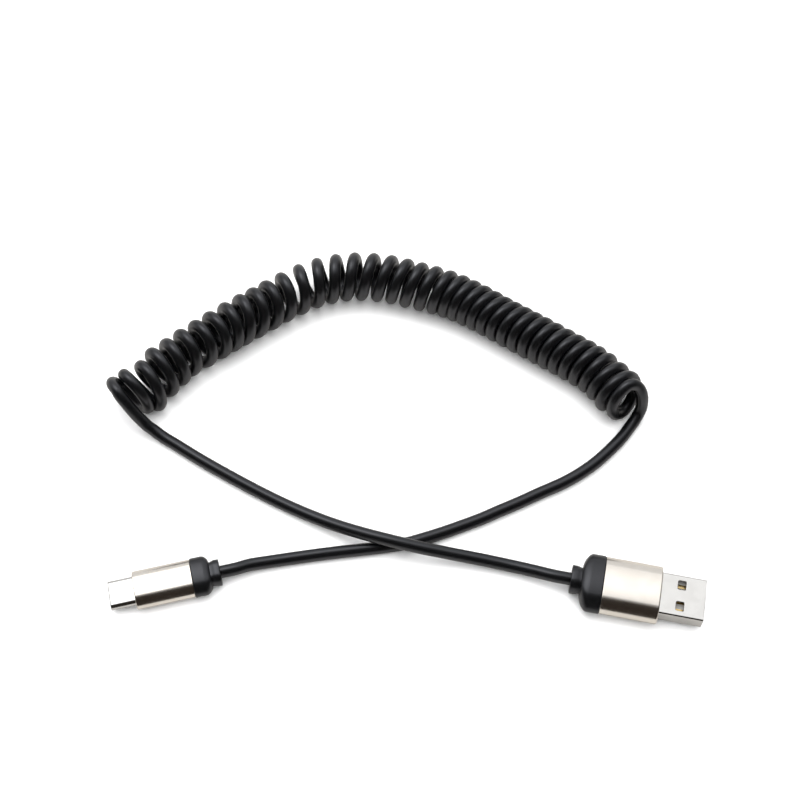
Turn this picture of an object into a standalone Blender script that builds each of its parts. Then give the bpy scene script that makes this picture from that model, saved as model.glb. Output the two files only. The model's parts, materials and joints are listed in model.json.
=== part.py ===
"""Coiled charging cable: a wide flat plug, a long curly cord and a small rounded plug.

Metres, +Z up, floor at z = 0. The origin is on the floor, in the middle of the two
plugs, which lie in front. The curly part of the cord lies behind them, at +Y.
"""
import math

import bmesh
import bpy
from mathutils import Vector

MM = 0.001

# Cord
CORD_DIAMETER = 3.5 * MM
COIL_DIAMETER = 14.2 * MM
CORD_STEP = 2.0 * CORD_DIAMETER       # spacing of a tail's points
CURL_STEP = 1.0 * CORD_DIAMETER       # spacing where the tail curls off the coil
CURL_RUN = 25.0 * MM
COIL_STEP = 1.0 * COIL_DIAMETER
FLOOR_CLEARANCE = 0.05 * MM
CORD_GAP = 0.3 * MM                   # from a tail's end to the boot it enters

# Clearances between fitted pieces
FIT_CLEARANCE = 0.1 * MM
CONTACT_CLEARANCE = 0.03 * MM

# Wide plug, its sizes along its own axis, counted back from the mouth
A_TIP = (78.95 * MM, -4.2 * MM)
A_HEADING = math.radians(-11.5)
A_SHELL_WIDTH = 12.0 * MM
A_SHELL_HEIGHT = 4.5 * MM
A_SHELL_WALL = 0.3 * MM
A_SHELL_CORNER = 0.5 * MM
A_SHELL_LENGTH = 11.75 * MM           # the stretch that stands out of the sleeve
A_SHELL_HELD = 3.0 * MM               # the stretch inside the sleeve
A_SHELL_LIP = 0.15 * MM
A_WINDOW_LENGTH = 2.2 * MM
A_WINDOW_WIDTH = 2.6 * MM
A_WINDOW_CORNER = 0.45 * MM
A_WINDOW_SPREAD = 6.05 * MM           # between the two windows' middles
A_WINDOW_BACK = 6.4 * MM              # from the mouth to a window's middle
A_TONGUE_WIDTH = 11.1 * MM
A_TONGUE_THICKNESS = 1.9 * MM
A_TONGUE_INSET = 0.4 * MM
A_BLOCK_LENGTH = 2.4 * MM             # the full-height rear of the tongue
A_CONTACT_WIDTH = 1.0 * MM
A_CONTACT_THICKNESS = 0.25 * MM
A_CONTACT_PLACES = (-3.5 * MM, -1.0 * MM, 1.0 * MM, 3.5 * MM)
A_CONTACT_INSETS = (1.1 * MM, 2.1 * MM, 2.1 * MM, 1.1 * MM)
A_SLEEVE_WIDTH = 16.35 * MM
A_SLEEVE_HEIGHT = 7.7 * MM
A_SLEEVE_CORNER = 3.75 * MM
A_SLEEVE_LENGTH = 15.25 * MM
A_BOOT_LENGTH = 5.8 * MM              # the moulding behind the sleeve
A_SHOULDER = 2.5 * MM                 # the sloping stretch down to the neck
A_COLLAR_WIDTH = 7.8 * MM
A_COLLAR_HEIGHT = 6.6 * MM
A_COLLAR_CORNER = 3.0 * MM
A_COLLAR_LENGTH = 2.4 * MM

# Small plug
C_TIP = (-79.18 * MM, -1.65 * MM)
C_HEADING = math.radians(193.5)
C_SHELL_WIDTH = 8.25 * MM
C_SHELL_HEIGHT = 2.4 * MM
C_SHELL_WALL = 0.2 * MM
C_SHELL_CORNER = 1.15 * MM
C_SHELL_LENGTH = 6.65 * MM
C_SHELL_HELD = 2.5 * MM
C_SHELL_LIP = 0.1 * MM
C_INSULATOR_WALL = 0.35 * MM
C_INSULATOR_INSET = 0.3 * MM
C_MOUTH_WIDTH = 6.9 * MM
C_MOUTH_DEPTH = 5.4 * MM
C_CONTACT_PITCH = 0.5 * MM
C_CONTACT_WIDTH = 0.28 * MM
C_CONTACT_THICKNESS = 0.12 * MM
C_CONTACT_LENGTH = 3.8 * MM
C_UPPER_PLACES = (-5.5, -2.5, -1.5, -0.5, 0.5, 2.5, 5.5)   # in pitches from the middle
C_LOWER_PLACES = (-5.5, -2.5, -1.5, 2.5, 5.5)
C_SLEEVE_WIDTH = 11.0 * MM
C_SLEEVE_HEIGHT = 5.8 * MM
C_SLEEVE_CORNER = 2.8 * MM
C_SLEEVE_LENGTH = 15.6 * MM
C_BOOT_LENGTH = 4.9 * MM
C_SHOULDER = 1.9 * MM
C_COLLAR_WIDTH = 7.4 * MM
C_COLLAR_HEIGHT = 5.2 * MM
C_COLLAR_CORNER = 2.4 * MM
C_COLLAR_LENGTH = 2.3 * MM

# Both plugs
SLEEVE_WALL = 0.5 * MM
SLEEVE_FRONT = 0.8 * MM
SLEEVE_CHAMFER = 0.25 * MM
BOOT_PROUD = 0.2 * MM
BOOT_CHAMFER = 0.35 * MM
NECK_DEPTH = 0.35 * MM
NECK_LENGTH = 0.35 * MM
COLLAR_CHAMFER = 0.3 * MM
SHOULDER_POWER = 1.15                 # 1 is a round shoulder, 2 a straight slope
SHOULDER_STEPS = 6
ARC_STEPS = 5                         # segments in each rounded corner
LEAST_CORNER = 0.1 * MM
LEAST_FLAT = 0.05 * MM                # left between two rounded corners, each side of the middle

A_AXIS_HEIGHT = A_SLEEVE_HEIGHT / 2 + BOOT_PROUD
C_AXIS_HEIGHT = C_SLEEVE_HEIGHT / 2 + BOOT_PROUD
TAIL_FLOOR = CORD_DIAMETER / 2 + FLOOR_CLEARANCE
COIL_AXIS_HEIGHT = COIL_DIAMETER / 2 + FLOOR_CLEARANCE

# Routes, in millimetres. The coil's axis runs along the floor from left to right.
COIL_ROUTE = [
    (-79.1, 58.6), (-73.2, 63.6), (-66.8, 70.4), (-59.3, 76.9), (-51.5, 82.5), (-43.7, 87.6),
    (-35.7, 93.3), (-25.9, 98.4), (-16.0, 101.0), (-5.8, 100.3), (3.1, 97.7), (11.2, 94.7),
    (21.0, 89.4), (29.5, 84.1), (38.5, 78.0), (47.4, 72.4), (52.7, 68.2), (57.8, 62.8),
    (61.6, 58.6),
]
# The tail from the coil's left end to the wide plug, which humps over the other tail
TAIL_A_ROUTE = [
    (-83.3, 58.3, 12.4), (-82.0, 57.0, 12.1), (-80.6, 55.7, 11.4), (-79.3, 54.6, 9.9),
    (-78.0, 53.5, 8.2), (-76.7, 52.4, 6.5), (-75.3, 51.6, 5.0), (-73.9, 50.6, 3.8),
    (-72.2, 49.8, 3.0), (-69.4, 47.8, 2.1), (-65.4, 45.4, 1.8), (-58.0, 40.3, 1.8),
    (-50.7, 35.8, 1.8), (-43.4, 31.5, 1.8), (-36.5, 27.7, 1.8), (-29.6, 24.1, 2.1),
    (-21.3, 20.0, 3.2), (-12.9, 16.3, 4.85), (-4.5, 13.5, 5.7), (4.0, 11.6, 5.1),
    (12.0, 10.4, 3.9), (20.1, 9.1, 3.0), (28.1, 7.4, 2.7), (35.0, 5.4, 3.3),
]
# The tail from the coil's right end to the small plug
TAIL_C_ROUTE = [
    (65.9, 58.8, 11.9), (67.0, 58.3, 10.9), (67.7, 57.4, 8.6), (67.8, 56.7, 6.5),
    (67.6, 55.8, 4.6), (66.9, 54.8, 3.1), (65.7, 53.0, 2.2), (64.2, 51.0, 1.8),
    (61.4, 47.3, 1.8), (55.6, 41.3, 1.8), (50.8, 37.3, 1.8), (44.7, 33.4, 1.8),
    (37.3, 29.8, 1.8), (31.7, 27.0, 1.8), (26.1, 24.4, 1.8), (20.6, 21.8, 1.8),
    (15.2, 19.6, 1.8), (10.8, 17.9, 1.8), (6.8, 16.5, 1.8), (0.0, 14.4, 1.8),
    (-6.3, 13.3, 1.8), (-12.6, 12.5, 1.8), (-22.2, 11.3, 1.8), (-28.9, 10.3, 1.8),
    (-37.0, 8.9, 2.0), (-42.6, 7.7, 2.45),
]
EXIT_RUN = 4.0 * MM                   # straight out of a boot before the route begins

BLACK = (0.012, 0.013, 0.015)
NICKEL = (0.78, 0.76, 0.72)
STEEL = (0.80, 0.80, 0.79)
BRASS = (0.80, 0.62, 0.28)
WHITE_PLASTIC = (0.75, 0.75, 0.73)


def clear_scene():
    for item in list(bpy.data.objects):
        bpy.data.objects.remove(item, do_unlink=True)


def make_material(name, colour, roughness, metallic):
    material = bpy.data.materials.new(name)
    material.use_nodes = True
    shader = material.node_tree.nodes["Principled BSDF"]
    shader.inputs["Base Color"].default_value = (*colour, 1.0)
    shader.inputs["Roughness"].default_value = roughness
    shader.inputs["Metallic"].default_value = metallic
    return material


def add_object(name, mesh, material, parent=None):
    item = bpy.data.objects.new(name, mesh)
    bpy.context.collection.objects.link(item)
    item.data.materials.append(material)
    item.parent = parent
    return item


def rounded_outline(width, height, corner):
    """Points (across, up) round a rounded rectangle, anticlockwise from the right."""
    corner = min(corner, width / 2 - LEAST_FLAT, height / 2 - LEAST_FLAT)
    points = []
    for quarter, (side, up) in enumerate(((1, 1), (-1, 1), (-1, -1), (1, -1))):
        centre_across = side * (width / 2 - corner)
        centre_up = up * (height / 2 - corner)
        for step in range(ARC_STEPS + 1):
            turn = math.pi / 2 * (quarter + step / ARC_STEPS)
            points.append((centre_across + corner * math.cos(turn),
                           centre_up + corner * math.sin(turn)))
    return points


def shrink(width, height, corner, amount):
    return rounded_outline(width - 2 * amount, height - 2 * amount, max(corner - amount, LEAST_CORNER))


def loft(name, sections, height, material, parent, closed=False):
    """Skin a row of outlines. Each section is (distance along the axis, outline)."""
    mesh = bpy.data.meshes.new(name)
    build = bmesh.new()
    rings = []
    for along, outline in sections:
        rings.append([build.verts.new((along, across, height + up)) for across, up in outline])
    pairs = list(zip(rings[:-1], rings[1:]))
    if closed:
        pairs.append((rings[-1], rings[0]))
    for first, second in pairs:
        count = len(first)
        for index in range(count):
            following = (index + 1) % count
            build.faces.new((first[index], first[following], second[following], second[index]))
    if not closed:
        build.faces.new(rings[0])
        build.faces.new(rings[-1])
    bmesh.ops.recalc_face_normals(build, faces=build.faces)
    build.to_mesh(mesh)
    build.free()
    item = add_object(name, mesh, material, parent)
    mesh.shade_smooth()
    mesh.set_sharp_from_angle(angle=math.radians(35))
    return item


def box(name, low, high, material, parent):
    mesh = bpy.data.meshes.new(name)
    build = bmesh.new()
    bmesh.ops.create_cube(build, size=1.0)
    size = [high[axis] - low[axis] for axis in range(3)]
    middle = [(high[axis] + low[axis]) / 2 for axis in range(3)]
    bmesh.ops.scale(build, vec=size, verts=build.verts)
    bmesh.ops.translate(build, vec=middle, verts=build.verts)
    build.to_mesh(mesh)
    build.free()
    return add_object(name, mesh, material, parent)


def cut_with(item, cutter):
    cutter.hide_render = True
    cutter.display_type = "WIRE"
    modifier = item.modifiers.new("cut_" + cutter.name, "BOOLEAN")
    modifier.operation = "DIFFERENCE"
    modifier.object = cutter


def plug_frame(name, tip, heading):
    """An empty on the floor under the plug's mouth, its X pointing out of the mouth."""
    empty = bpy.data.objects.new(name, None)
    bpy.context.collection.objects.link(empty)
    empty.location = (tip[0], tip[1], 0.0)
    empty.rotation_euler = (0.0, 0.0, heading)
    return empty


def shell_tube(name, size, corner, wall, lip, length, height, material, parent):
    """A folded sheet tube, open at the mouth and at the back."""
    width, tall = size
    inner = (width - 2 * wall, tall - 2 * wall, max(corner - wall, LEAST_CORNER))
    sections = [
        (-length, rounded_outline(width, tall, corner)),
        (-lip, rounded_outline(width, tall, corner)),
        (0.0, shrink(width, tall, corner, lip)),
        (0.0, rounded_outline(*inner)),
        (-length, rounded_outline(*inner)),
    ]
    return loft(name, sections, height, material, parent, closed=True)


def sleeve_cup(name, size, slot, front, length, height, material, parent):
    """A drawn metal sleeve: open at the back, its front wall slotted for the shell."""
    inside = (size[0] - 2 * SLEEVE_WALL, size[1] - 2 * SLEEVE_WALL, size[2] - SLEEVE_WALL)
    back = front - length
    sections = [
        (back, shrink(*size, SLEEVE_CHAMFER / 2)),
        (back + SLEEVE_CHAMFER / 2, rounded_outline(*size)),
        (front - SLEEVE_CHAMFER, rounded_outline(*size)),
        (front, shrink(*size, SLEEVE_CHAMFER)),
        (front, rounded_outline(*slot)),
        (front - SLEEVE_FRONT, rounded_outline(*slot)),
        (front - SLEEVE_FRONT, rounded_outline(*inside)),
        (back, rounded_outline(*inside)),
    ]
    return loft(name, sections, height, material, parent, closed=True)


def shoulder_section(body, neck, back, shoulder, part):
    """One outline of the slope from a boot's body (part 0) down to its neck (part 1)."""
    turn = math.pi / 2 * part
    along = back + shoulder * (1.0 - math.sin(turn) ** SHOULDER_POWER)
    keep = max(math.cos(turn), 0.0) ** SHOULDER_POWER
    return along, rounded_outline(*[low + (high - low) * keep for high, low in zip(body, neck)])


def boot(name, sleeve, sleeve_back, stub_front, length, shoulder, collar, collar_length,
         height, material, parent):
    """The black moulding: a stub inside the sleeve, a domed rear, a neck and a collar."""
    stub = (sleeve[0] - 2 * SLEEVE_WALL - 2 * FIT_CLEARANCE,
            sleeve[1] - 2 * SLEEVE_WALL - 2 * FIT_CLEARANCE,
            sleeve[2] - SLEEVE_WALL - FIT_CLEARANCE)
    body = (sleeve[0] + 2 * BOOT_PROUD, sleeve[1] + 2 * BOOT_PROUD, sleeve[2] + BOOT_PROUD)
    front = sleeve_back - FIT_CLEARANCE
    back = front - length
    sections = [(stub_front, rounded_outline(*stub)), (front, rounded_outline(*stub))]
    sections.append((front, shrink(*body, BOOT_CHAMFER)))
    sections.append((front - BOOT_CHAMFER, rounded_outline(*body)))
    neck = (collar[0] - 2 * NECK_DEPTH, collar[1] - 2 * NECK_DEPTH, collar[2] - NECK_DEPTH)
    for step in range(SHOULDER_STEPS + 1):
        along, outline = shoulder_section(body, neck, back, shoulder, step / SHOULDER_STEPS)
        sections.append((along, outline))
    neck_end = back - NECK_LENGTH
    collar_end = neck_end - collar_length
    sections.append((neck_end, rounded_outline(*neck)))
    sections.append((neck_end, rounded_outline(*collar)))
    sections.append((collar_end + COLLAR_CHAMFER, rounded_outline(*collar)))
    sections.append((collar_end, shrink(*collar, COLLAR_CHAMFER)))
    return loft(name, sections, height, material, parent), collar_end


def build_wide_plug(materials):
    frame = plug_frame("usb_a_frame", A_TIP, A_HEADING)
    height = A_AXIS_HEIGHT
    shell_end = A_SHELL_LENGTH + A_SHELL_HELD
    shell = shell_tube("usb_a_shell", (A_SHELL_WIDTH, A_SHELL_HEIGHT), A_SHELL_CORNER,
                       A_SHELL_WALL, A_SHELL_LIP, shell_end, height, materials["steel"], frame)
    for name, side in (("near", -1), ("far", 1)):
        window = rounded_outline(A_WINDOW_WIDTH, A_WINDOW_LENGTH, A_WINDOW_CORNER)
        place = (-A_WINDOW_BACK, side * A_WINDOW_SPREAD / 2)
        cut_with(shell, window_cutter(name + "_window", window, place, height, materials, frame))

    inner_half = A_SHELL_HEIGHT / 2 - A_SHELL_WALL
    tongue_low = height - inner_half + CONTACT_CLEARANCE
    tongue_top = tongue_low + A_TONGUE_THICKNESS
    tongue(tongue_low, tongue_top, height + inner_half - CONTACT_CLEARANCE, shell_end,
           materials["insulator"], frame)
    for number, (place, inset) in enumerate(zip(A_CONTACT_PLACES, A_CONTACT_INSETS), start=1):
        low = tongue_top + CONTACT_CLEARANCE
        back = -shell_end + A_BLOCK_LENGTH + FIT_CLEARANCE
        box("usb_a_contact_%d" % number, (back, place - A_CONTACT_WIDTH / 2, low),
            (-inset, place + A_CONTACT_WIDTH / 2, low + A_CONTACT_THICKNESS),
            materials["brass"], frame)

    size = (A_SLEEVE_WIDTH, A_SLEEVE_HEIGHT, A_SLEEVE_CORNER)
    slot = (A_SHELL_WIDTH + 2 * FIT_CLEARANCE, A_SHELL_HEIGHT + 2 * FIT_CLEARANCE,
            A_SHELL_CORNER + FIT_CLEARANCE)
    sleeve_cup("usb_a_sleeve", size, slot, -A_SHELL_LENGTH, A_SLEEVE_LENGTH, height,
               materials["nickel"], frame)
    sleeve_back = -A_SHELL_LENGTH - A_SLEEVE_LENGTH
    collar = (A_COLLAR_WIDTH, A_COLLAR_HEIGHT, A_COLLAR_CORNER)
    _, collar_end = boot("usb_a_boot", size, sleeve_back, -shell_end - FIT_CLEARANCE,
                         A_BOOT_LENGTH, A_SHOULDER, collar, A_COLLAR_LENGTH, height,
                         materials["black"], frame)
    return exit_points(A_TIP, A_HEADING, collar_end, height)


def window_cutter(name, outline, place, height, materials, parent):
    """An upright rounded bar through both flat walls of the wide shell."""
    mesh = bpy.data.meshes.new(name)
    build = bmesh.new()
    reach = A_SHELL_HEIGHT
    ring = [build.verts.new((place[0] + along, place[1] + across, height - reach))
            for across, along in outline]
    floor = build.faces.new(ring)
    lifted = bmesh.ops.extrude_face_region(build, geom=[floor])
    risen = [part for part in lifted["geom"] if isinstance(part, bmesh.types.BMVert)]
    bmesh.ops.translate(build, vec=(0.0, 0.0, 2 * reach), verts=risen)
    bmesh.ops.recalc_face_normals(build, faces=build.faces)
    build.to_mesh(mesh)
    build.free()
    return add_object(name, mesh, materials["steel"], parent)


def tongue(low, top, roof, shell_end, material, parent):
    """The wide plug's insulator: a flat tongue with a full-height block at its back."""
    half = A_TONGUE_WIDTH / 2
    back = -shell_end
    step = back + A_BLOCK_LENGTH
    profile = [(-A_TONGUE_INSET, low), (-A_TONGUE_INSET, top), (step, top), (step, roof),
               (back, roof), (back, low)]
    mesh = bpy.data.meshes.new("usb_a_insulator")
    build = bmesh.new()
    side = build.faces.new([build.verts.new((along, -half, up)) for along, up in profile])
    lifted = bmesh.ops.extrude_face_region(build, geom=[side])
    moved = [part for part in lifted["geom"] if isinstance(part, bmesh.types.BMVert)]
    bmesh.ops.translate(build, vec=(0.0, 2 * half, 0.0), verts=moved)
    bmesh.ops.recalc_face_normals(build, faces=build.faces)
    build.to_mesh(mesh)
    build.free()
    return add_object("usb_a_insulator", mesh, material, parent)


def build_small_plug(materials):
    frame = plug_frame("usb_c_frame", C_TIP, C_HEADING)
    height = C_AXIS_HEIGHT
    shell_end = C_SHELL_LENGTH + C_SHELL_HELD
    shell_tube("usb_c_shell", (C_SHELL_WIDTH, C_SHELL_HEIGHT), C_SHELL_CORNER, C_SHELL_WALL,
               C_SHELL_LIP, shell_end, height, materials["steel"], frame)

    outer_width = C_SHELL_WIDTH - 2 * C_SHELL_WALL - 2 * CONTACT_CLEARANCE
    outer_height = C_SHELL_HEIGHT - 2 * C_SHELL_WALL - 2 * CONTACT_CLEARANCE
    mouth_height = outer_height - 2 * C_INSULATOR_WALL
    outer = rounded_outline(outer_width, outer_height, outer_height / 2)
    mouth = rounded_outline(C_MOUTH_WIDTH, mouth_height, mouth_height / 2)
    front = -C_INSULATOR_INSET
    sections = [(-shell_end, outer), (front, outer), (front, mouth), (front - C_MOUTH_DEPTH, mouth)]
    loft("usb_c_insulator", sections, height, materials["liner"], frame)

    reach = mouth_height / 2 - CONTACT_CLEARANCE
    first = front - (C_MOUTH_DEPTH - C_CONTACT_LENGTH) / 2
    rows = (("upper", C_UPPER_PLACES, reach - C_CONTACT_THICKNESS), ("lower", C_LOWER_PLACES, -reach))
    for row, places, low in rows:
        for number, pitches in enumerate(places, start=1):
            across = pitches * C_CONTACT_PITCH
            box("usb_c_%s_contact_%d" % (row, number),
                (first - C_CONTACT_LENGTH, across - C_CONTACT_WIDTH / 2, height + low),
                (first, across + C_CONTACT_WIDTH / 2, height + low + C_CONTACT_THICKNESS),
                materials["brass"], frame)

    size = (C_SLEEVE_WIDTH, C_SLEEVE_HEIGHT, C_SLEEVE_CORNER)
    slot = (C_SHELL_WIDTH + 2 * FIT_CLEARANCE, C_SHELL_HEIGHT + 2 * FIT_CLEARANCE,
            C_SHELL_CORNER + FIT_CLEARANCE)
    sleeve_cup("usb_c_sleeve", size, slot, -C_SHELL_LENGTH, C_SLEEVE_LENGTH, height,
               materials["nickel"], frame)
    sleeve_back = -C_SHELL_LENGTH - C_SLEEVE_LENGTH
    collar = (C_COLLAR_WIDTH, C_COLLAR_HEIGHT, C_COLLAR_CORNER)
    _, collar_end = boot("usb_c_boot", size, sleeve_back, -shell_end - FIT_CLEARANCE,
                         C_BOOT_LENGTH, C_SHOULDER, collar, C_COLLAR_LENGTH, height,
                         materials["black"], frame)
    return exit_points(C_TIP, C_HEADING, collar_end, height)


def exit_points(tip, heading, collar_end, height):
    """The straight run by which the cord leaves a collar, from outside in, in metres."""
    forward = Vector((math.cos(heading), math.sin(heading), 0.0))
    mouth = Vector((tip[0], tip[1], height))
    end = mouth + forward * (collar_end - CORD_GAP)
    return [end - forward * EXIT_RUN, end]


def smooth_curve(points, parts=24):
    """Fine points on a centripetal curve through the given ones."""
    line = [Vector(point) for point in points]
    line = [2 * line[0] - line[1]] + line + [2 * line[-1] - line[-2]]
    fine = []
    for a, b, c, d in zip(line[:-3], line[1:-2], line[2:-1], line[3:]):
        t1 = math.sqrt((b - a).length)
        t2 = t1 + math.sqrt((c - b).length)
        t3 = t2 + math.sqrt((d - c).length)
        for part in range(parts):
            t = t1 + (t2 - t1) * part / parts
            ab = a * ((t1 - t) / t1) + b * (t / t1)
            bc = b * ((t2 - t) / (t2 - t1)) + c * ((t - t1) / (t2 - t1))
            cd = c * ((t3 - t) / (t3 - t2)) + d * ((t - t2) / (t3 - t2))
            abc = ab * ((t2 - t) / t2) + bc * (t / t2)
            bcd = bc * ((t3 - t) / (t3 - t1)) + cd * ((t - t1) / (t3 - t1))
            fine.append(abc * ((t2 - t) / (t2 - t1)) + bcd * ((t - t1) / (t2 - t1)))
    fine.append(line[-2])
    return fine


def spaced(fine, step, curl_step=None, curl_run=0.0):
    """Points along a fine curve, close together over the curl at its start."""
    picked = [fine[0]]
    run = 0.0
    since = 0.0
    for before, after in zip(fine[:-1], fine[1:]):
        run += (after - before).length
        since += (after - before).length
        if since >= (curl_step if run < curl_run else step):
            picked.append(after)
            since = 0.0
    if since < step / 2 and len(picked) > 2:
        picked.pop()
    picked.append(fine[-1])
    return picked


def tube(name, points, radius, resolution, material):
    curve = bpy.data.curves.new(name, "CURVE")
    curve.dimensions = "3D"
    curve.bevel_depth = radius
    curve.bevel_resolution = resolution
    curve.use_fill_caps = True
    spline = curve.splines.new("POLY")
    spline.points.add(len(points) - 1)
    for place, point in zip(spline.points, points):
        place.co = (*point, 1.0)
    item = bpy.data.objects.new(name, curve)
    bpy.context.collection.objects.link(item)
    curve.materials.append(material)
    return item


def build_cord(materials, exit_a, exit_c):
    coil = smooth_curve([(x * MM, y * MM, COIL_AXIS_HEIGHT) for x, y in COIL_ROUTE])
    tube("cable_coil", spaced(coil, COIL_STEP), COIL_DIAMETER / 2, 4, materials["black"])
    for name, route, leaving in (("cable_tail_usb_a", TAIL_A_ROUTE, exit_a),
                                 ("cable_tail_usb_c", TAIL_C_ROUTE, exit_c)):
        points = [(x * MM, y * MM, max(z * MM, TAIL_FLOOR)) for x, y, z in route] + leaving
        line = spaced(smooth_curve(points), CORD_STEP, CURL_STEP, CURL_RUN)
        tube(name, line, CORD_DIAMETER / 2, 2, materials["black"])


def main():
    clear_scene()
    materials = {
        "black": make_material("black_moulding", BLACK, 0.45, 0.0),
        "nickel": make_material("satin_nickel", NICKEL, 0.28, 1.0),
        "steel": make_material("shell_steel", STEEL, 0.25, 1.0),
        "brass": make_material("contact_brass", BRASS, 0.3, 1.0),
        "insulator": make_material("white_plastic", WHITE_PLASTIC, 0.5, 0.0),
        "liner": make_material("black_liner", BLACK, 0.45, 0.0),
    }
    exit_a = build_wide_plug(materials)
    exit_c = build_small_plug(materials)
    build_cord(materials, exit_a, exit_c)


main()
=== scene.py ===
import json
import math

import bmesh
import bpy
from mathutils import Matrix, Vector


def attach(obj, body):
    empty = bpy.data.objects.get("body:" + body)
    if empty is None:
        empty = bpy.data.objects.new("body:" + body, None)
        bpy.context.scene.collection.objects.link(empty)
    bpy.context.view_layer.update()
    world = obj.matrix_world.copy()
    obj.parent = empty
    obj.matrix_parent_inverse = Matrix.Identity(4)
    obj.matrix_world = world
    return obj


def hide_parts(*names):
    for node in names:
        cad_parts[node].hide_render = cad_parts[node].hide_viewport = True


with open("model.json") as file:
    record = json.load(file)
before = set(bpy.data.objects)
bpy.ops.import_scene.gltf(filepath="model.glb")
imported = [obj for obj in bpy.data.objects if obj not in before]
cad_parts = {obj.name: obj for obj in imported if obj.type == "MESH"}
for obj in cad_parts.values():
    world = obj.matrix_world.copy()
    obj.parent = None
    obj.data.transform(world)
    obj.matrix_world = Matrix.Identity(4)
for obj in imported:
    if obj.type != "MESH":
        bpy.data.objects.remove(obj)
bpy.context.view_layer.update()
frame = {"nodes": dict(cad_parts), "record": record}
nodes = frame["nodes"]
record = frame["record"]
mm = 0.001
print("frame loaded")


# Camera: stands in front of the plugs and looks down on them at the photo's angle
camera = {
    "place": (-1.7, -148.9, 350.6),  # mm
    "pitch": 30.94,                  # degrees off straight down
    "lens": 63.0,
    "sensor": 36.0,
    "nearest": 0.01,                 # m
}


def setCamera():
    data = bpy.data.cameras.new("camera")
    data.lens = camera["lens"]
    data.sensor_width = camera["sensor"]
    data.sensor_fit = "HORIZONTAL"
    data.clip_start = camera["nearest"]
    eye = bpy.data.objects.new("camera", data)
    eye.location = Vector(camera["place"]) * mm
    eye.rotation_euler = (math.radians(camera["pitch"]), 0.0, 0.0)
    bpy.context.collection.objects.link(eye)
    bpy.context.scene.camera = eye


# Shader maths: a socket as a Python value
class Value:
    def __init__(self, shader, socket):
        self.shader = shader
        self.socket = socket

    def math(self, operation, other):
        return self.shader.node("ShaderNodeMath", {"operation": operation}, {0: self, 1: other})

    def __add__(self, other):
        return self.math("ADD", other)

    def __radd__(self, other):
        return self.math("ADD", other)

    def __rsub__(self, other):
        return self * -1.0 + other

    def __mul__(self, other):
        return self.math("MULTIPLY", other)

    def __rmul__(self, other):
        return self.math("MULTIPLY", other)

    # 0 below low, 1 above high, smooth between
    def ramp(self, low, high):
        sockets = {"Value": self, "From Min": low, "From Max": high}
        return self.shader.node("ShaderNodeMapRange", {"interpolation_type": "SMOOTHSTEP"}, sockets)


# A node tree, with one method for every kind of node
class Shader:
    def __init__(self, owner):
        owner.use_nodes = True
        self.tree = owner.node_tree

    def feed(self, place, value):
        if isinstance(value, Value):
            self.tree.links.new(value.socket, place)
        else:
            place.default_value = value

    def node(self, kind, settings, sockets, output=0):
        node = self.tree.nodes.new(kind)
        for name, value in settings.items():
            setattr(node, name, value)
        for name, value in sockets.items():
            self.feed(node.inputs[name], value)
        return Value(self, node.outputs[output])

    # Blend of two colours; sockets 6 and 7 and output 2 are the Mix node's colour ones
    def mix(self, factor, first, second):
        sockets = {0: factor, 6: first, 7: second}
        return self.node("ShaderNodeMix", {"data_type": "RGBA"}, sockets, 2)

    def where(self, space="Object"):
        return self.node("ShaderNodeTexCoord", {}, {}, space)

    def noise(self, scale, detail, roughness=0.5):
        sockets = {"Vector": self.where(), "Scale": scale, "Detail": detail, "Roughness": roughness}
        return self.node("ShaderNodeTexNoise", {}, sockets, "Fac")

    def bump(self, height, strength, distance):
        sockets = {"Height": height, "Strength": strength, "Distance": distance}
        return self.node("ShaderNodeBump", {}, sockets, "Normal")


# A material on one Principled shader; what is the same all over goes straight on its sockets
class Finish(Shader):
    def __init__(self, name, **even):
        self.material = bpy.data.materials.new(name)
        super().__init__(self.material)
        self.main = self.tree.nodes["Principled BSDF"]
        for name, value in even.items():
            self.set(name.replace("_", " "), value)

    def set(self, name, value):
        self.feed(self.main.inputs[name], value)


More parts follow.
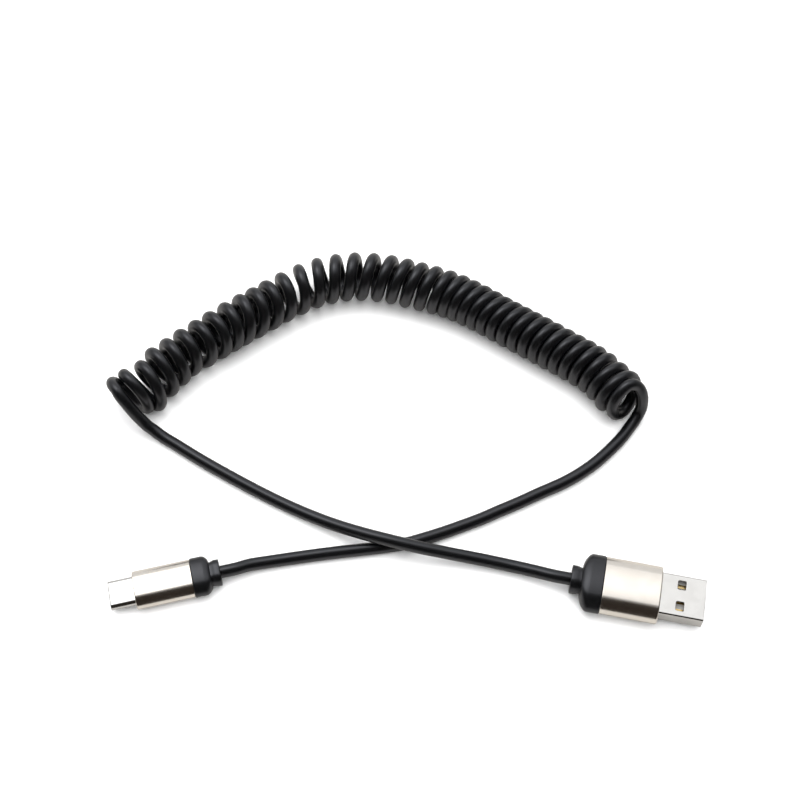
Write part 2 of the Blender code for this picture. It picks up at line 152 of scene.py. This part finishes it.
# Finishes. "even" goes straight on the shader, "cloud" and "grain" are noises as (scale, detail,
# roughness), "patches" is where the cloud turns from the first of the "colours" to the second,
# "rough" is the roughness and what the cloud and the grain add to it, and "relief" is the grain's
# strength and height in m.
blackPlastic = {
    "Base_Color": (0.0028, 0.0032, 0.0038, 1.0),
    "IOR": 1.62,
    "Specular_Tint": (0.93, 0.94, 1.0, 1.0),
}
finishes = {
    "satin_black_jacket": {
        "even": blackPlastic,
        "cloud": (180.0, 3.0),
        "grain": (9000.0, 2.0),
        "rough": (0.27, 0.06, 0.04),
        "relief": (0.12, 0.00004),
    },
    "satin_black_moulding": {
        "even": blackPlastic,
        "cloud": (220.0, 3.0),
        "grain": (7000.0, 3.0),
        "rough": (0.28, 0.08, 0.0),
        "relief": (0.25, 0.00005),
    },
    "satin_nickel": {
        "even": {"Metallic": 1.0},
        "cloud": (260.0, 2.0),
        "grain": (5200.0, 3.0, 0.6),
        "patches": (0.3, 0.7),
        "colours": ((0.80, 0.75, 0.68, 1.0), (0.83, 0.785, 0.72, 1.0)),
        "rough": (0.17, 0.04, 0.06),
        "relief": (0.3, 0.00003),
    },
    "plated_steel": {
        "even": {"Metallic": 1.0},
        "cloud": (300.0, 3.0),
        "grain": (6500.0, 2.0),
        "patches": (0.3, 0.7),
        "colours": ((0.59, 0.58, 0.56, 1.0), (0.63, 0.62, 0.60, 1.0)),
        "rough": (0.14, 0.05, 0.04),
        "relief": (0.1, 0.00002),
    },
    "white_moulding": {
        "even": {"IOR": 1.5},
        "cloud": (500.0, 2.0),
        "colours": ((0.42, 0.41, 0.39, 1.0), (0.50, 0.49, 0.47, 1.0)),
        "rough": (0.42, 0.1, 0.0),
    },
    "black_liner": {
        "even": {"IOR": 1.5},
        "cloud": (500.0, 2.0),
        "colours": ((0.012, 0.012, 0.013, 1.0), (0.02, 0.02, 0.021, 1.0)),
        "rough": (0.38, 0.1, 0.0),
    },
    "gold_plate": {
        "even": {"Metallic": 1.0},
        "cloud": (900.0, 2.0),
        "colours": ((0.56, 0.41, 0.18, 1.0), (0.64, 0.49, 0.25, 1.0)),
        "rough": (0.2, 0.12, 0.0),
    },
}


def makeFinish(name):
    style = finishes[name]
    finish = Finish(name, **style["even"])
    base, fromCloud, fromGrain = style["rough"]
    cloud = finish.noise(*style["cloud"])
    roughness = base + fromCloud * cloud
    if "colours" in style:
        share = cloud.ramp(*style["patches"]) if "patches" in style else cloud
        finish.set("Base Color", finish.mix(share, *style["colours"]))
    if "grain" in style:
        grain = finish.noise(*style["grain"])
        finish.set("Normal", finish.bump(grain, *style["relief"]))
        if fromGrain:
            roughness = roughness + fromGrain * grain
    finish.set("Roughness", roughness)
    return finish


# Join a row of rings of points with faces, and cap its ends or join them too
def skin(name, build, rings, closed=False):
    pairs = list(zip(rings[:-1], rings[1:]))
    if closed:
        pairs.append((rings[-1], rings[0]))
    for first, second in pairs:
        for step in range(len(first)):
            following = (step + 1) % len(first)
            build.faces.new((first[step], first[following], second[following], second[step]))
    if not closed:
        build.faces.new(rings[0])
        build.faces.new(rings[-1])
    bmesh.ops.recalc_face_normals(build, faces=build.faces)
    return finishMesh(name, build)


# Smooth shading, apart from edges sharper than this many degrees
sharpEdge = 40.0


def finishMesh(name, build):
    mesh = bpy.data.meshes.new(name)
    build.to_mesh(mesh)
    build.free()
    mesh.shade_smooth()
    mesh.set_sharp_from_angle(angle=math.radians(sharpEdge))
    item = bpy.data.objects.new(name, mesh)
    bpy.context.collection.objects.link(item)
    return item


# Turn an object's modifiers into its own mesh
def settle(item):
    graph = bpy.context.evaluated_depsgraph_get()
    mesh = bpy.data.meshes.new_from_object(item.evaluated_get(graph))
    item.modifiers.clear()
    item.data = mesh


def evenNormals(item):
    item.modifiers.new("even_normals", "WEIGHTED_NORMAL").keep_sharp = True


def cover(piece, finish):
    piece.data.materials.clear()
    piece.data.materials.append(finish.material)


def dress(piece, finish, slotName, *replaced):
    cover(piece, finish)
    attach(piece, "root")
    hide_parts(*replaced)


# Cord: one length of cable, both tails and the curly part between them
cord = {
    "diameter": 3.5,                 # mm, like every length here
    "sides": 20,
    "turnPoints": 12,                # points of each turn that the smooth curve runs through
    "between": 4,                    # rings from one such point to the next
    "straightRing": 0.9,             # ring spacing along the tails
    "leastRings": 2,                 # between two of a tail's points
    "floor": 0.05,                   # clearance over the floor
    "exitRun": 4.0,                  # straight out of each boot
    "gap": 0.3,                      # from the end of that straight run to the boot
    "into": 0.8,                     # how far the cord goes into the boot's hole
    "headingReach": 1.0,             # turns before and after that give the axis its direction
    "endReach": 1.5,                 # the same at the coil's two ends, in all
}

# The curly part's axis on the floor, as (turn, x, y); turn 0 is the first top at the left
coilRoute = [
    (0, -81.5, 56.5), (0.5, -79.7, 58.1), (1, -78.5, 60.2), (1.5, -76.3, 58.3), (2, -73.6, 63.1),
    (2.5, -71.9, 63.3), (3, -70.8, 67.7), (3.5, -68.2, 68.7), (4, -66.8, 70.6), (6, -58.7, 77.1),
    (8, -50.8, 82.9), (10, -42.9, 88.3), (12, -35.3, 93.4), (14, -26.1, 98.1), (16, -15.9, 100.2),
    (18, -5.6, 99.4), (20, 3.2, 96.9), (22, 11.2, 94.4), (25, 20.3, 89.9), (28, 28.8, 84.4),
    (31, 37.5, 78.7), (34, 46.6, 72.7), (36, 52.5, 68.6), (37, 55.4, 66.1), (38, 58.0, 63.1),
    (39, 60.15, 59.9), (39.5, 61.5, 58.85), (40, 63.2, 58.0),
]
# Its turns, as (turn, radius, how far a turn's bottom leans along the axis past its top,
# how far its far side lies along the axis past its middle)
coilTurns = [
    (0, 5.5, 2.4, -2.7), (1, 5.6, 3.3, -0.8), (2, 5.5, 1.9, -0.5), (3, 5.4, -0.4, -0.3),
    (7, 5.5, -2.1, -1.0), (9, 5.6, -3.2, 0.1), (11, 5.5, -2.8, -0.4), (13, 5.6, -0.8, 0.2),
    (17, 5.6, -0.8, 0.1), (20, 5.6, -0.8, 0.0), (23, 5.4, 0.2, 0.5), (27, 5.2, 1.7, 1.0),
    (31, 5.3, 2.2, 0.7), (35, 5.3, 1.5, 0.9), (38, 5.5, 0.6, -0.5), (40, 6.0, 3.2, 1.5),
]

# From the coil's left end to the wide plug, humping over the other tail
tailA = [
    (-80.6, 55.2, 12.2), (-79.3, 54.0, 10.9), (-78.0, 52.9, 9.2), (-76.7, 52.0, 7.3),
    (-75.3, 51.2, 5.5), (-73.9, 50.3, 4.1), (-72.2, 49.5, 3.0), (-69.4, 47.7, 2.1),
    (-65.4, 45.2, 1.8), (-58.0, 40.3, 1.8), (-50.7, 35.8, 1.8), (-43.4, 31.5, 1.8),
    (-36.5, 27.7, 1.8), (-29.6, 24.1, 2.1), (-21.3, 20.0, 3.2), (-12.9, 16.3, 4.85),
    (-4.5, 13.5, 5.7), (4.0, 11.6, 5.1), (12.0, 10.4, 3.9), (20.1, 9.1, 3.0),
    (28.1, 7.4, 2.7), (35.0, 5.4, 3.3),
]
# From the coil's right end to the small plug
tailC = [
    (65.6, 58.4, 12.3), (66.8, 57.7, 10.6), (67.4, 57.0, 8.6), (67.6, 56.5, 6.5),
    (67.5, 55.7, 4.6), (66.9, 54.8, 3.1), (65.7, 53.0, 2.2), (64.2, 51.0, 1.8),
    (61.4, 47.3, 1.8), (55.6, 41.3, 1.8), (50.8, 37.3, 1.8), (44.7, 33.4, 1.8),
    (37.3, 29.8, 1.8), (31.7, 27.0, 1.8), (26.1, 24.4, 1.8), (20.6, 21.8, 1.8),
    (15.2, 19.6, 1.8), (10.8, 17.9, 1.8), (6.8, 16.5, 1.8), (0.0, 14.4, 1.8),
    (-6.3, 13.3, 1.8), (-12.6, 12.5, 1.8), (-22.2, 11.3, 1.8), (-28.9, 10.3, 1.8),
    (-37.0, 8.9, 2.0), (-42.6, 7.7, 2.45),
]


# A smooth value through stops of (turn, value...), by cubic pieces
def alongStops(stops, turn):
    last = len(stops) - 2
    index = min(max([i for i in range(len(stops)) if stops[i][0] <= turn] or [0]), last)

    def climb(i):
        step = stops[i + 1][0] - stops[i][0]
        return [(b - a) / step for a, b in zip(stops[i][1:], stops[i + 1][1:])]

    def slope(i):
        if i == 0 or i > last:
            return climb(min(i, last))
        share = (stops[i][0] - stops[i - 1][0]) / (stops[i + 1][0] - stops[i - 1][0])
        return [a * (1 - share) + b * share for a, b in zip(climb(i - 1), climb(i))]

    start, end = stops[index], stops[index + 1]
    span = end[0] - start[0]
    t = (turn - start[0]) / span
    result = []
    for a, b, ma, mb in zip(start[1:], end[1:], slope(index), slope(index + 1)):
        result.append((2 * t**3 - 3 * t**2 + 1) * a + (t**3 - 2 * t**2 + t) * span * ma
                      + (-2 * t**3 + 3 * t**2) * b + (t**3 - t**2) * span * mb)
    return Vector(result)


# The curly part: a left-handed helix round its axis
def coilPoint(turn):
    final = coilRoute[-1][0]
    middle = alongStops(coilRoute, turn)
    reach, endReach = cord["headingReach"], cord["endReach"]
    before = alongStops(coilRoute, min(max(turn - reach, 0.0), final - endReach))
    after = alongStops(coilRoute, min(max(turn + reach, endReach), final))
    along = (after - before).normalized()
    away = Vector((-along.y, along.x))
    radius, lean, yaw = alongStops(coilTurns, turn)
    angle = 2 * math.pi * turn
    shift = lean * (1 - math.cos(angle)) / 2 + yaw * math.sin(angle)
    flat = middle + away * (radius * math.sin(angle)) + along * shift
    height = radius * (1 + math.cos(angle)) + cord["diameter"] / 2 + cord["floor"]
    return Vector((flat.x, flat.y, height))


# Fine points on a centripetal curve through the given ones
def smoothCurve(points, parts):
    line = [2 * points[0] - points[1]] + points + [2 * points[-1] - points[-2]]
    fine = []
    for index, (a, b, c, d) in enumerate(zip(line[:-3], line[1:-2], line[2:-1], line[3:])):
        t1 = math.sqrt((b - a).length)
        t2 = t1 + math.sqrt((c - b).length)
        t3 = t2 + math.sqrt((d - c).length)
        count = parts[index]
        for part in range(count):
            t = t1 + (t2 - t1) * part / count
            ab = a * ((t1 - t) / t1) + b * (t / t1)
            bc = b * ((t2 - t) / (t2 - t1)) + c * ((t - t1) / (t2 - t1))
            cd = c * ((t3 - t) / (t3 - t2)) + d * ((t - t2) / (t3 - t2))
            abc = ab * ((t2 - t) / t2) + bc * (t / t2)
            bcd = bc * ((t3 - t) / (t3 - t1)) + cd * ((t - t1) / (t3 - t1))
            fine.append(abc * ((t2 - t) / (t2 - t1)) + bcd * ((t - t1) / (t2 - t1)))
    fine.append(line[-2])
    return fine


# Straight run from outside to the collar, then a little way into it
def exitRun(placement, collarEnd, height):
    end = placement @ Vector((collarEnd, 0.0, height))
    back = (placement.to_3x3() @ Vector((-1.0, 0.0, 0.0))).normalized()
    return [end + back * ((cord["gap"] + cord["exitRun"]) * mm), end + back * (cord["gap"] * mm),
            end - back * (cord["into"] * mm)]


# The whole cord's centreline, from inside one boot to inside the other
def cordLine(plugA, plugC):
    low = cord["diameter"] / 2 + cord["floor"]

    def lifted(route):
        return [Vector((x, y, max(z, low))) * mm for x, y, z in route]

    turns = coilRoute[-1][0] * cord["turnPoints"]
    helix = [coilPoint(index / cord["turnPoints"]) * mm for index in range(turns + 1)]
    first = lifted(tailA) + exitRun(*plugA)
    last = lifted(tailC) + exitRun(*plugC)
    points = list(reversed(first)) + helix + last
    parts = []
    for a, b in zip(points[:-1], points[1:]):
        count = round((b - a).length / (cord["straightRing"] * mm))
        parts.append(max(cord["leastRings"], count))
    for index in range(len(first), len(first) + turns):
        parts[index] = cord["between"]
    return smoothCurve(points, parts)


# Tube along a line, its rings carried along without twist
def tubeMesh(name, line, radius, sides):
    build = bmesh.new()
    rings = []
    normal = None
    for index, point in enumerate(line):
        ahead = line[min(index + 1, len(line) - 1)]
        behind = line[max(index - 1, 0)]
        along = (ahead - behind).normalized()
        if normal is None:
            normal = along.orthogonal().normalized()
        normal = (normal - along * normal.dot(along)).normalized()
        side = along.cross(normal)
        ring = []
        for step in range(sides):
            angle = 2 * math.pi * step / sides
            outward = normal * math.cos(angle) + side * math.sin(angle)
            ring.append(build.verts.new(point + outward * radius))
        rings.append(ring)
    return skin(name, build, rings)


def makeCord(finish):
    ends = []
    for node, placement in (("usb_a_boot", placeA), ("usb_c_boot", placeC)):
        (end, _), _, (low, high) = span(node, placement)
        ends.append((placement, end * mm, (low + high) / 2 * mm))
    line = cordLine(*ends)
    piece = tubeMesh("coiled_cord", line, cord["diameter"] / 2 * mm, cord["sides"])
    dress(piece, finish, "cord_jacket", "cable_coil", "cable_tail_usb_a", "cable_tail_usb_c")
    length = sum((b - a).length for a, b in zip(line[:-1], line[1:]))
    print("cord length", round(length, 4), "rings", len(line))
    return piece, line, length


# A plug's own axes: X out of its mouth, Z up, from the floor under the mouth
def plugPlacement(shell, mount):
    ahead = next(Vector(item["axis"]) for item in record["mounts"] if item["name"] == mount)
    up = Vector((0.0, 0.0, 1.0))
    left = up.cross(ahead)
    points = [vertex.co for vertex in nodes[shell].data.vertices]
    across = [point.dot(left) for point in points]
    mouth = max(point.dot(ahead) for point in points)
    place = ahead * mouth + left * (max(across) + min(across)) / 2
    return Matrix.Translation(place) @ Matrix((ahead, left, up)).transposed().to_4x4()


# A node's reach along each of a plug's axes, in mm: ((back, front), (right, left), (low, high))
def span(node, placement):
    turned = placement.inverted()
    points = [turned @ vertex.co for vertex in nodes[node].data.vertices]
    return [(min(point[axis] for point in points) / mm, max(point[axis] for point in points) / mm)
            for axis in range(3)]


# Steps round each corner, along each flat and over each rounded edge, and the least radius in mm
cornerSteps = 12
flatSteps = 8
edgeCount = 4
leastCorner = 0.02


# Rounded rectangle, or a stadium, as points (across, up); crown domes its long sides a little
def outline(width, height, corner, crown=0.0):
    corner = min(corner, width / 2 - leastCorner, height / 2 - leastCorner)
    points = []
    for quarter, (side, up) in enumerate(((1, 1), (-1, 1), (-1, -1), (1, -1))):
        middle = Vector((side * (width / 2 - corner), up * (height / 2 - corner)))
        for step in range(cornerSteps + 1):
            turn = math.pi / 2 * (quarter + step / cornerSteps)
            points.append(middle + Vector((math.cos(turn), math.sin(turn))) * corner)
        nextSide, nextUp = ((-1, 1), (-1, -1), (1, -1), (1, 1))[quarter]
        start = points[-1]
        turn = math.pi / 2 * (quarter + 1)
        end = Vector((nextSide * (width / 2 - corner), nextUp * (height / 2 - corner)))
        end += Vector((math.cos(turn), math.sin(turn))) * corner
        for step in range(1, flatSteps):
            points.append(start.lerp(end, step / flatSteps))
    return [Vector((p.x, p.y * (1 - crown * (2 * p.x / width) ** 2))) for p in points]


# The same outline, drawn in by an amount all round
def inset(size, amount, crown=0.0):
    width, height, corner = size
    corner = max(corner - amount, leastCorner)
    return outline(width - 2 * amount, height - 2 * amount, corner, crown)


# Quarter-round edge as (along, drawn in by), at the given end, facing front (1) or back (-1)
def edgeSteps(end, radius, facing, opening=False):
    steps = []
    for step in range(edgeCount + 1):
        turn = math.pi / 2 * step / edgeCount
        steps.append((end - facing * radius * (1 - math.sin(turn)), radius * (1 - math.cos(turn))))
    if opening:
        steps = [(along, -amount) for along, amount in reversed(steps)]
    return steps


# Skin a row of sections (along, outline) in a plug's own axes, in mm, onto its place
def loft(name, sections, height, placement, closed=False):
    build = bmesh.new()
    rings = []
    for along, points in sections:
        places = [Vector((along, point.x, height + point.y)) for point in points]
        rings.append([build.verts.new(placement @ (place * mm)) for place in places])
    return skin(name, build, rings, closed)


# Sleeves: drawn metal cups with a rounded front edge, slotted for the shell
sleeve = {
    "wall": 0.5,
    "front": 0.8,                    # thickness of the front wall
    "frontEdge": 0.4,
    "slotEdge": 0.1,
    "backEdge": 0.12,
    "slotClearance": 0.1,
}
sleeveA = dict(sleeve, node="usb_a_sleeve", shell=(12.0, 4.5, 0.5), corner=3.82, crown=0.21)
sleeveC = dict(sleeve, node="usb_c_sleeve", shell=(8.25, 2.4, 1.15), corner=2.88, crown=0.25,
               frontEdge=0.3)


def makeSleeve(style, placement, finish):
    (back, front), (right, left), (low, high) = span(style["node"], placement)
    height = (low + high) / 2
    wall, crown = style["wall"], style["crown"]
    size = (left - right, high - low, style["corner"])
    inside = (size[0] - 2 * wall, size[1] - 2 * wall, style["corner"] - wall)
    slot = [side + 2 * style["slotClearance"] for side in style["shell"][:2]] + [style["shell"][2]]
    sections = [(along, inset(size, amount, crown)) for along, amount in
                reversed(edgeSteps(back, style["backEdge"], -1))]
    sections += [(along, inset(size, amount, crown)) for along, amount in
                 edgeSteps(front, style["frontEdge"], 1)]
    sections += [(along, inset(slot, amount)) for along, amount in
                 edgeSteps(front, style["slotEdge"], 1, opening=True)]
    sections.append((front - style["front"], outline(*slot)))
    sections.append((front - style["front"], outline(*inside)))
    sections.append((back, outline(*inside)))
    piece = loft(style["node"].replace("usb", "fine_usb"), sections, height, placement, closed=True)
    evenNormals(piece)
    dress(piece, finish, "satin_sleeve", style["node"])


# Boots: black mouldings with a sloping shoulder, a neck and a collar that the cord leaves by
boot = {
    "stubIn": 0.8,                   # from the boot's outside to the stub in the sleeve, each side
    "stubCorner": 0.6,
    "seam": 0.05,                    # between the sleeve's back and the boot
    "frontEdge": 0.3,
    "slope": 1.15,                   # 1 is a round shoulder, 2 a straight one
    "neck": 0.35,                    # how far the neck lies in from the collar
    "neckRun": 0.25,                 # its straight length behind the shoulder
    "flare": 1.5,                    # from the shoulder's end to the collar's full size
    "flareBend": (0.6, 0.35),        # shares of the flare's length and of the neck's depth there
    "rimEdge": 0.25,
    "hole": 3.8,
    "holeDepth": 0.3,
    "holeTaper": 0.1,
    "shoulderSteps": 14,
}
bootA = dict(boot, node="usb_a_boot", sleeve="usb_a_sleeve", corner=4.0, crown=0.34, shoulder=2.5,
             collar=(7.8, 6.6, 3.2), collarLength=2.75)
bootC = dict(boot, node="usb_c_boot", sleeve="usb_c_sleeve", corner=3.05, crown=0.30, shoulder=1.9,
             collar=(7.4, 5.2, 2.55), collarLength=2.65)


def makeBoot(style, placement, finish):
    (end, stubFront), (right, left), (low, high) = span(style["node"], placement)
    sleeveBack = span(style["sleeve"], placement)[0][0]
    height = (low + high) / 2
    size = (left - right, high - low, style["corner"])
    stub = [side - 2 * style["stubIn"] for side in size[:2]] + [size[2] - style["stubCorner"]]
    collar, shoulder, crown = style["collar"], style["shoulder"], style["crown"]
    front = sleeveBack - style["seam"]
    rear = end + style["collarLength"]
    sections = [(stubFront, outline(*stub)), (front, outline(*stub))]
    sections += [(along, inset(size, amount, crown)) for along, amount in
                 reversed(edgeSteps(front, style["frontEdge"], 1))]
    neck = [side - 2 * style["neck"] for side in collar[:2]] + [collar[2] - style["neck"]]
    for step in range(style["shoulderSteps"] + 1):
        turn = math.pi / 2 * step / style["shoulderSteps"]
        run = math.sin(turn) ** style["slope"]
        keep = math.cos(turn) ** style["slope"] if step < style["shoulderSteps"] else 0.0
        shape = [b + (a - b) * keep for a, b in zip(size, neck)]
        sections.append((rear + shoulder - shoulder * run, outline(*shape, crown * keep)))
    sections.append((rear - style["neckRun"], outline(*neck)))
    bendAt, bendDepth = style["flareBend"]
    sections.append((rear - style["flare"] * bendAt, inset(collar, style["neck"] * bendDepth)))
    sections.append((rear - style["flare"], outline(*collar)))
    sections += [(along, inset(collar, amount)) for along, amount in
                 edgeSteps(end, style["rimEdge"], -1)]
    hole = (style["hole"], style["hole"], style["hole"] / 2)
    sections.append((end, outline(*hole)))
    sections.append((end + style["holeDepth"], inset(hole, style["holeTaper"])))
    piece = loft(style["node"].replace("usb", "fine_usb"), sections, height, placement)
    evenNormals(piece)
    dress(piece, finish, "boot_moulding", style["node"])


# Shells: folded or drawn sheet tubes with rolled lips
shell = {
    "wall": 0.3,
    "lip": 0.1,                      # rounding of the mouth's rim
    "leastInside": 0.1,              # least radius of its inner corners
}
shellA = dict(shell, node="usb_a_shell", corner=0.5, window=(2.6, 2.2, 0.45), spread=6.05,
              windowBack=6.4, windowEdge=0.12, windowFlare=0.4)
shellC = dict(shell, node="usb_c_shell", corner=1.18, wall=0.25, lip=0.24)


def makeShell(style, placement, finish):
    (back, front), (right, left), (low, high) = span(style["node"], placement)
    wall = style["wall"]
    size = (left - right, high - low, style["corner"])
    insideCorner = max(style["corner"] - wall, style["leastInside"])
    inside = (size[0] - 2 * wall, size[1] - 2 * wall, insideCorner)
    sections = [(back, outline(*size))]
    sections += [(along, inset(size, amount)) for along, amount in
                 edgeSteps(front, style["lip"], 1)]
    sections += [(along, inset(inside, amount)) for along, amount in
                 edgeSteps(front, style["lip"], 1, opening=True)]
    sections.append((back, outline(*inside)))
    height = (low + high) / 2
    piece = loft(style["node"].replace("usb", "fine_usb"), sections, height, placement, closed=True)
    if "window" in style:
        cutWindows(piece, style, placement, height, high - low)
    evenNormals(piece)
    dress(piece, finish, "plug_shell", style["node"])


# Windows through both flat walls, their rims rounded by a cutter that flares at each surface
def cutWindows(piece, style, placement, height, tall):
    long, edge = style["windowBack"], style["windowEdge"]
    for side in (-1, 1):
        build = bmesh.new()
        levels = [(-tall, -edge - style["windowFlare"])]
        for step in range(edgeCount + 1):
            turn = math.pi / 2 * step / edgeCount
            levels.append((-tall / 2 + edge * (1 - math.cos(turn)), -edge * (1 - math.sin(turn))))
        levels += [(-up, amount) for up, amount in reversed(levels)]
        rings = []
        for up, amount in levels:
            ring = []
            for point in inset(style["window"], amount):
                place = Vector((point.y - long, point.x + side * style["spread"] / 2, height + up))
                ring.append(build.verts.new(placement @ (place * mm)))
            rings.append(ring)
        cutter = skin("window_cutter", build, rings)
        cut = piece.modifiers.new("window", "BOOLEAN")
        cut.operation = "DIFFERENCE"
        cut.object = cutter
        settle(piece)
        bpy.data.objects.remove(cutter, do_unlink=True)


# Studio: a white table under a bright ceiling, with a dark room on the camera's side. Directions
# run from -1 to 1: across to the right, along away from the camera, and up.
studio = {
    "table": 6.0,                                 # m
    "tableCells": 4,                              # each way
    "tableRoughness": 0.9,
    "tableColour": (0.93, 0.93, 0.93, 1.0),
    "tableShadedInReflections": (0.465, 0.452, 0.435, 1.0),  # painted shade: the table at half brightness in what the cable and metal reflect
    "low": (0.31, 0.31, 0.31, 1.0),               # what lights the table from the sides
    "high": (3.40, 3.40, 3.40, 1.0),              # and from straight above
    "front": (0.028, 0.022, 0.018, 1.0),          # what the cable reflects on the camera's side
    "back": (0.80, 0.80, 0.81, 1.0),              # and behind it
    "frontToBack": (-0.28, 0.34),                 # along, where one turns into the other
    "glow": (3.60, 3.62, 3.65, 1.0),              # a bright panel over it, strongest at the left
    "glowRise": (-0.05, 0.4),                     # along
    "glowFall": (0.36, 0.75),                     # along
    "glowRight": (-0.15, 0.1),                    # across, where the panel dims
    "glowLoss": 0.77,                             # by this share
    "sides": (0.15, 0.5),                         # across squared, where the dark room takes over
    "sideLoss": 0.8,
    "overhead": (0.45, 0.98),                     # up, how the light on the table gathers
    "overheadFront": (-0.45, -0.05),              # along, where it weakens towards the camera
    "overheadLoss": 0.3,
    "seen": (0.95, 0.95, 0.95, 1.0),              # what the camera sees past the table
    "keyPlace": (-0.2, 0.35, 0.8),                # m
    "keyTilt": -23.0,                             # degrees
    "keySize": (0.7, 0.5),                        # m
    "keyPower": 2.4,                              # W
}


def makeStudio():
    build = bmesh.new()
    cells = studio["tableCells"]
    bmesh.ops.create_grid(build, x_segments=cells, y_segments=cells, size=studio["table"] / 2)
    table = finishMesh("table", build)
    finish = Finish("white_table", Roughness=studio["tableRoughness"], Specular_IOR_Level=0.0)
    # Painted shade: rays that reflect off the cable and metal see the table in a darker copy of its
    # colour
    mirrored = finish.node("ShaderNodeLightPath", {}, {}, "Is Glossy Ray")
    finish.set("Base Color", finish.mix(mirrored, studio["tableColour"], studio["tableShadedInReflections"]))
    cover(table, finish)

    data = bpy.data.lights.new("key", "AREA")
    data.shape = "RECTANGLE"
    data.size, data.size_y = studio["keySize"]
    data.energy = studio["keyPower"]
    key = bpy.data.objects.new("key", data)
    key.location = studio["keyPlace"]
    key.rotation_euler = (math.radians(studio["keyTilt"]), 0.0, 0.0)
    key.visible_camera = False
    key.visible_glossy = False
    bpy.context.collection.objects.link(key)

    world = bpy.data.worlds.new("room")
    bpy.context.scene.world = world
    room = Shader(world)
    sky = room.where("Generated")
    across, along, up = (room.node("ShaderNodeSeparateXYZ", {}, {0: sky}, axis) for axis in "XYZ")
    glow = along.ramp(*studio["glowRise"]) * (1.0 - along.ramp(*studio["glowFall"]))
    share = 1.0 - studio["glowLoss"] * across.ramp(*studio["glowRight"])
    sides = (across * across).ramp(*studio["sides"]) * studio["sideLoss"]
    mirrored = room.mix(along.ramp(*studio["frontToBack"]), studio["front"], studio["back"])
    mirrored = room.mix(glow * share, mirrored, studio["glow"])
    mirrored = room.mix(sides, mirrored, studio["front"])
    matt = room.node("ShaderNodeLightPath", {}, {}, "Is Diffuse Ray")
    seen = room.node("ShaderNodeLightPath", {}, {}, "Is Camera Ray")
    loss = studio["overheadLoss"] * (1.0 - along.ramp(*studio["overheadFront"]))
    overhead = up.ramp(*studio["overhead"]) * (1.0 - loss)
    dome = room.mix(overhead, studio["low"], studio["high"])
    light = room.mix(seen, room.mix(matt, mirrored, dome), studio["seen"])
    room.feed(room.tree.nodes["Background"].inputs["Color"], light)


scene = bpy.context.scene
scene.view_settings.view_transform = "Standard"
scene.view_settings.look = "None"

setCamera()
placeA = plugPlacement("usb_a_shell", "usb_a_stop_face")
placeC = plugPlacement("usb_c_shell", "usb_c_stop_face")
print("plugs placed")

moulding = makeFinish("satin_black_moulding")
nickel = makeFinish("satin_nickel")
steel = makeFinish("plated_steel")
gold = makeFinish("gold_plate")
cordPiece, cordPath, cordLength = makeCord(makeFinish("satin_black_jacket"))
print("cord made")

makeShell(shellA, placeA, steel)
makeShell(shellC, placeC, steel)
makeSleeve(sleeveA, placeA, nickel)
makeSleeve(sleeveC, placeC, nickel)
makeBoot(bootA, placeA, moulding)
makeBoot(bootC, placeC, moulding)
print("plugs made")

# Pieces that keep their CAD shape
cover(nodes["usb_a_insulator"], makeFinish("white_moulding"))
cover(nodes["usb_c_insulator"], makeFinish("black_liner"))
for name, node in nodes.items():
    if "contact" in name:
        cover(node, gold)
print("insulators and contacts finished")

# Where the cord leaves the wide plug's collar
(collarEnd, _), _, (low, high) = span("usb_a_boot", placeA)
exitPlace = placeA @ Vector((collarEnd * mm, 0.0, (low + high) / 2 * mm))

makeStudio()
print("studio made")
